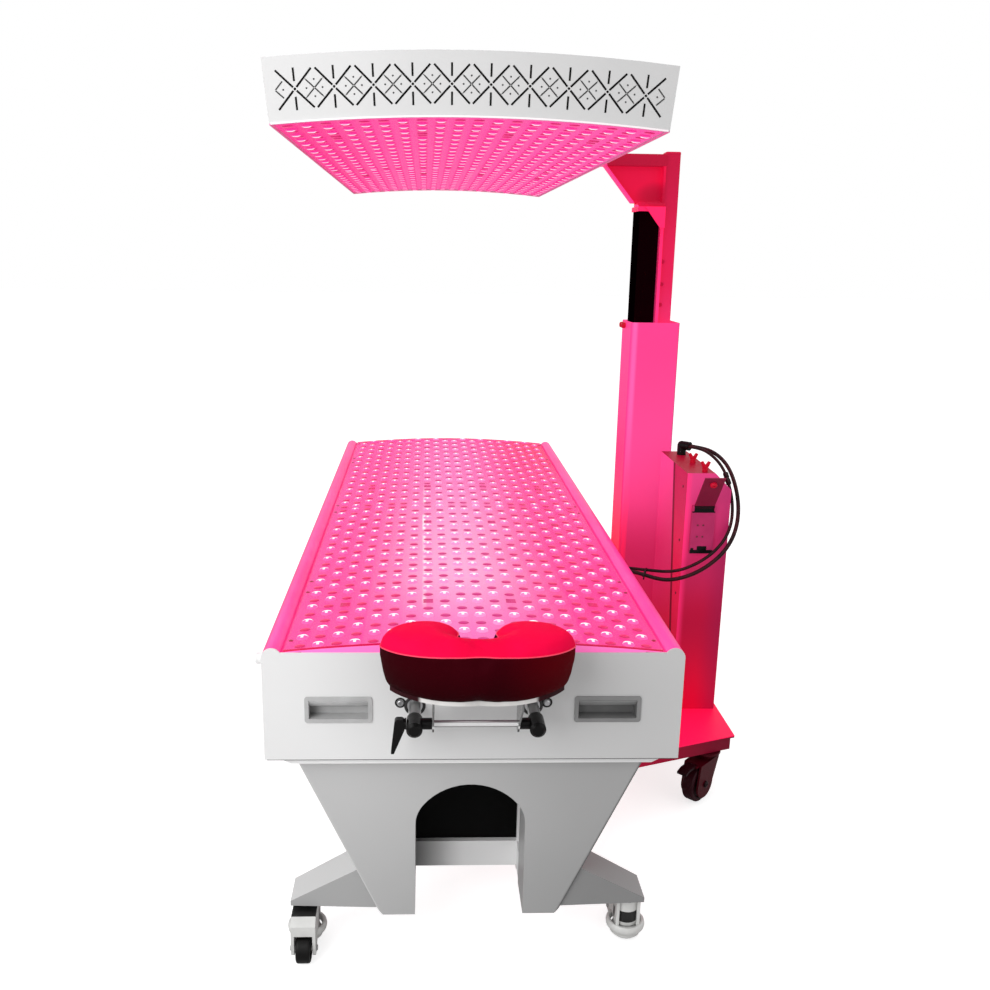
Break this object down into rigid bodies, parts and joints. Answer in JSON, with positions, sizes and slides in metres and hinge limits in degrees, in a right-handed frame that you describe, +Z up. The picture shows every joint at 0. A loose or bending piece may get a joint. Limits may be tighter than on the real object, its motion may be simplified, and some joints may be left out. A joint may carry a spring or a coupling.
{
  "type": "red light therapy bed",
  "caption": "Light therapy bed on arched pedestals with levelling casters, a tilting face cradle, and a rolling stand that raises an arched light canopy over it.",
  "frame": {"origin": "on the floor under the middle of the whole object's box", "axes": "+Y from the head end with the face cradle to the foot end, +X from the bed to the stand, +Z up"},
  "size_m": [1.0995, 2.3453, 1.6658],
  "materials": {
    "white_paint": "satin white powder coat",
    "pull_grey": "matte grey",
    "led_board": "pink-red board with light emitters",
    "clear_sheet": "clear gloss sheet",
    "driver_case": "plain metal",
    "black_panel": "matte black",
    "steel": "satin",
    "chrome": "polished",
    "red_paint": null,
    "black_paint": "satin black",
    "red_plastic": "gloss red",
    "cord_rubber": "matte black",
    "platform_board": "matte pale",
    "cushion": "soft crimson cover",
    "caster_frame": "grey paint",
    "caster_wheel": "dark tread",
    "caster_pad": "dark pad and dial",
    "pedal": "matte dark red"
  },
  "bodies": {
    "bed_and_stand": {"end_panels": "white_paint", "side_rails": "white_paint", "bed_tray": "white_paint", "bed_led_deck": "led_board", "bed_clear_cover": "clear_sheet", "led_drivers": "driver_case", "flush_pulls": "pull_grey", "side_peg": "white_paint", "pedestal_covers": "white_paint", "pedestal_frames": "white_paint", "pedestal_back_panels": "black_panel", "outrigger_feet": "white_paint", "post_sockets": "steel", "stand_base": "red_paint", "column_housing": "red_paint", "lift_outer_stage": "steel", "power_box": "red_paint", "cable_glands": "black_panel", "wing_bolts": "red_plastic", "breaker_unit": "black_panel", "cord_outer": "cord_rubber", "cord_inner": "cord_rubber"},
    "canopy_lift": {"lift_stage": "black_paint", "lift_bracket": "red_paint", "lift_post": "red_paint", "canopy_arm": "red_paint", "canopy_shell": "white_paint", "canopy_ends": "white_paint", "canopy_led_deck": "led_board", "canopy_clear_cover": "clear_sheet", "canopy_fans": "black_panel"},
    "cradle_slider": {"cradle_posts": "chrome", "post_caps": "black_panel"},
    "cradle_head": {"cradle_links": "steel", "cradle_platform": "platform_board", "cradle_cushion": "cushion"},
    "cam_lever": {"cam_lever": "black_panel"},
    "breaker_cover": {"breaker_cover": "red_plastic"},
    "swivel_head_left": {"caster_frame_head_left": "caster_frame"},
    "wheel_head_left": {"caster_wheel_head_left": "caster_wheel"},
    "pad_head_left": {"caster_pad_head_left": "caster_pad"},
    "swivel_head_right": {"caster_frame_head_right": "caster_frame"},
    "wheel_head_right": {"caster_wheel_head_right": "caster_wheel"},
    "pad_head_right": {"caster_pad_head_right": "caster_pad"},
    "swivel_foot_left": {"caster_frame_foot_left": "caster_frame"},
    "wheel_foot_left": {"caster_wheel_foot_left": "caster_wheel"},
    "pad_foot_left": {"caster_pad_foot_left": "caster_pad"},
    "swivel_foot_right": {"caster_frame_foot_right": "caster_frame"},
    "wheel_foot_right": {"caster_wheel_foot_right": "caster_wheel"},
    "pad_foot_right": {"caster_pad_foot_right": "caster_pad"},
    "stand_swivel_head_outer": {"stand_fork_head_outer": "caster_frame"},
    "stand_roll_head_outer": {"stand_wheel_head_outer": "caster_wheel"},
    "brake_head_outer": {"brake_pedal_head_outer": "pedal"},
    "stand_swivel_foot_outer": {"stand_fork_foot_outer": "caster_frame"},
    "stand_roll_foot_outer": {"stand_wheel_foot_outer": "caster_wheel"},
    "brake_foot_outer": {"brake_pedal_foot_outer": "pedal"},
    "stand_swivel_head_inner": {"stand_fork_head_inner": "caster_frame"},
    "stand_roll_head_inner": {"stand_wheel_head_inner": "caster_wheel"},
    "stand_swivel_foot_inner": {"stand_fork_foot_inner": "caster_frame"},
    "stand_roll_foot_inner": {"stand_wheel_foot_inner": "caster_wheel"}
  },
  "joints": [
    {"name": "canopy_height", "type": "slide", "parent": "bed_and_stand", "child": "canopy_lift", "axis": [0, 0, 1], "range_m": [-0.25, 0.1]},
    {"name": "cradle_reach", "type": "slide", "parent": "bed_and_stand", "child": "cradle_slider", "axis": [0, -1, 0], "range_m": [0, 0.06]},
    {"name": "cradle_tilt", "type": "hinge", "parent": "cradle_slider", "child": "cradle_head", "pos_m": [-0.152, -1.0635, 0.551], "axis": [1, 0, 0], "range_deg": [-5, 35]},
    {"name": "cam_lock", "type": "hinge", "parent": "cradle_slider", "child": "cam_lever", "pos_m": [-0.273, -1.0635, 0.551], "axis": [1, 0, 0], "range_deg": [-120, 15]},
    {"name": "breaker_cover_hinge", "type": "hinge", "parent": "bed_and_stand", "child": "breaker_cover", "pos_m": [0.461, -0.2445, 0.724], "axis": [1, 0, 0], "range_deg": [-30, 115]},
    {"name": "swivel_head_left", "type": "hinge", "parent": "bed_and_stand", "child": "swivel_head_left", "pos_m": [-0.47, -0.9055, 0.1], "axis": [0, 0, 1], "continuous": true},
    {"name": "roll_head_left", "type": "hinge", "parent": "swivel_head_left", "child": "wheel_head_left", "pos_m": [-0.47, -0.9655, 0.028], "axis": [1, 0, 0], "continuous": true},
    {"name": "level_head_left", "type": "slide", "parent": "swivel_head_left", "child": "pad_head_left", "axis": [0, 0, 1], "range_m": [-0.014, 0]},
    {"name": "swivel_head_right", "type": "hinge", "parent": "bed_and_stand", "child": "swivel_head_right", "pos_m": [0.166, -0.9055, 0.1], "axis": [0, 0, 1], "continuous": true},
    {"name": "roll_head_right", "type": "hinge", "parent": "swivel_head_right", "child": "wheel_head_right", "pos_m": [0.166, -0.8455, 0.028], "axis": [-1, 0, 0], "continuous": true},
    {"name": "level_head_right", "type": "slide", "parent": "swivel_head_right", "child": "pad_head_right", "axis": [0, 0, 1], "range_m": [-0.014, 0]},
    {"name": "swivel_foot_left", "type": "hinge", "parent": "bed_and_stand", "child": "swivel_foot_left", "pos_m": [-0.47, 0.8645, 0.1], "axis": [0, 0, 1], "continuous": true},
    {"name": "roll_foot_left", "type": "hinge", "parent": "swivel_foot_left", "child": "wheel_foot_left", "pos_m": [-0.44948, 0.92088, 0.028], "axis": [-0.9397, 0.342, 0], "continuous": true},
    {"name": "level_foot_left", "type": "slide", "parent": "swivel_foot_left", "child": "pad_foot_left", "axis": [0, 0, 1], "range_m": [-0.014, 0]},
    {"name": "swivel_foot_right", "type": "hinge", "parent": "bed_and_stand", "child": "swivel_foot_right", "pos_m": [0.166, 0.8645, 0.1], "axis": [0, 0, 1], "continuous": true},
    {"name": "roll_foot_right", "type": "hinge", "parent": "swivel_foot_right", "child": "wheel_foot_right", "pos_m": [0.18652, 0.80812, 0.028], "axis": [0.9397, 0.342, 0], "continuous": true},
    {"name": "level_foot_right", "type": "slide", "parent": "swivel_foot_right", "child": "pad_foot_right", "axis": [0, 0, 1], "range_m": [-0.014, 0]},
    {"name": "stand_swivel_head_outer", "type": "hinge", "parent": "bed_and_stand", "child": "stand_swivel_head_outer", "pos_m": [0.474, -0.37252, 0.12], "axis": [0, 0, 1], "continuous": true},
    {"name": "stand_roll_head_outer", "type": "hinge", "parent": "stand_swivel_head_outer", "child": "stand_roll_head_outer", "pos_m": [0.44925, -0.39727, 0.05], "axis": [0.7071, -0.7071, 0], "continuous": true},
    {"name": "brake_head_outer", "type": "hinge", "parent": "stand_swivel_head_outer", "child": "brake_head_outer", "pos_m": [0.42662, -0.4199, 0.1067], "axis": [0.7071, -0.7071, 0], "range_deg": [0, 12]},
    {"name": "stand_swivel_foot_outer", "type": "hinge", "parent": "bed_and_stand", "child": "stand_swivel_foot_outer", "pos_m": [0.474, 0.40952, 0.12], "axis": [0, 0, 1], "continuous": true},
    {"name": "stand_roll_foot_outer", "type": "hinge", "parent": "stand_swivel_foot_outer", "child": "stand_roll_foot_outer", "pos_m": [0.48597, 0.37663, 0.05], "axis": [0.9397, 0.342, 0], "continuous": true},
    {"name": "brake_foot_outer", "type": "hinge", "parent": "stand_swivel_foot_outer", "child": "brake_foot_outer", "pos_m": [0.49691, 0.34656, 0.1067], "axis": [0.9397, 0.342, 0], "range_deg": [0, 12]},
    {"name": "stand_swivel_head_inner", "type": "hinge", "parent": "bed_and_stand", "child": "stand_swivel_head_inner", "pos_m": [-0.162, -0.58501, 0.12], "axis": [0, 0, 1], "continuous": true},
    {"name": "stand_roll_head_inner", "type": "hinge", "parent": "stand_swivel_head_inner", "child": "stand_roll_head_inner", "pos_m": [-0.17397, -0.55212, 0.05], "axis": [-0.9397, -0.342, 0], "continuous": true},
    {"name": "stand_swivel_foot_inner", "type": "hinge", "parent": "bed_and_stand", "child": "stand_swivel_foot_inner", "pos_m": [-0.162, 0.62201, 0.12], "axis": [0, 0, 1], "continuous": true},
    {"name": "stand_roll_foot_inner", "type": "hinge", "parent": "stand_swivel_foot_inner", "child": "stand_roll_foot_inner", "pos_m": [-0.17397, 0.58912, 0.05], "axis": [0.9397, -0.342, 0], "continuous": true}
  ]
}
